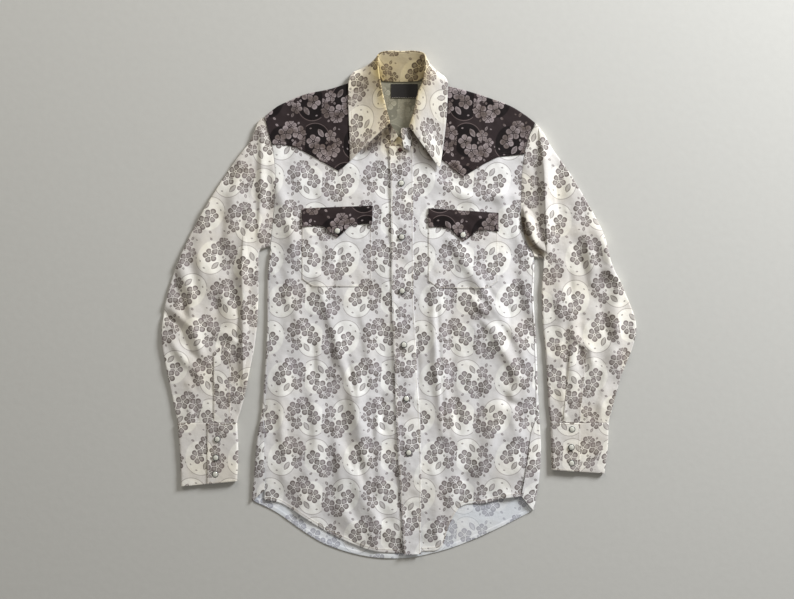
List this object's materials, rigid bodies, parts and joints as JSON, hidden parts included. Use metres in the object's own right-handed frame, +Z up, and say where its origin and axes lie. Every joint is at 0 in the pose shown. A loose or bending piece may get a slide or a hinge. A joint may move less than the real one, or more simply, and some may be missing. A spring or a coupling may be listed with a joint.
{
  "type": "western snap shirt laid flat",
  "caption": "Long-sleeved western shirt with a snap front, dark pointed yokes and pocket flaps, laid flat on its back with its sleeves down beside the body.",
  "frame": {"origin": "middle of the shirt's outline as it lies, on the floor under its back", "axes": "+Y from the hem to the collar, +X towards the wearer's left, +Z up from the floor"},
  "size_m": [0.784, 0.8356, 0.0225],
  "materials": {
    "cream_print": "matte printed cream cotton blend",
    "dark_print": "matte printed dark brown cotton blend",
    "label_cloth": "satin woven",
    "snap_pearl": "pearly cap in a dark metal ring"
  },
  "bodies": {
    "root": {"back": "cream_print", "front_right": "cream_print", "front_left": "cream_print", "placket": "cream_print", "pocket_right": "cream_print", "pocket_left": "cream_print", "sleeve_right": "cream_print", "sleeve_left": "cream_print", "sleeve_placket_right": "cream_print", "sleeve_placket_left": "cream_print", "cuff_right": "cream_print", "cuff_left": "cream_print", "collar_fall": "cream_print", "collar_stand": "cream_print", "back_yoke": "dark_print", "front_yoke_right": "dark_print", "front_yoke_left": "dark_print", "pocket_flap_right": "dark_print", "pocket_flap_left": "dark_print", "neck_label": "label_cloth", "snap_front_1": "snap_pearl", "snap_front_2": "snap_pearl", "snap_front_3": "snap_pearl", "snap_front_4": "snap_pearl", "snap_front_5": "snap_pearl", "snap_front_6": "snap_pearl", "snap_neck": "snap_pearl", "snap_flap_right": "snap_pearl", "snap_flap_left": "snap_pearl", "snap_cuff_right_1": "snap_pearl", "snap_cuff_right_2": "snap_pearl", "snap_cuff_right_3": "snap_pearl", "snap_cuff_left_1": "snap_pearl", "snap_cuff_left_2": "snap_pearl", "snap_cuff_left_3": "snap_pearl"}
  },
  "joints": []
}
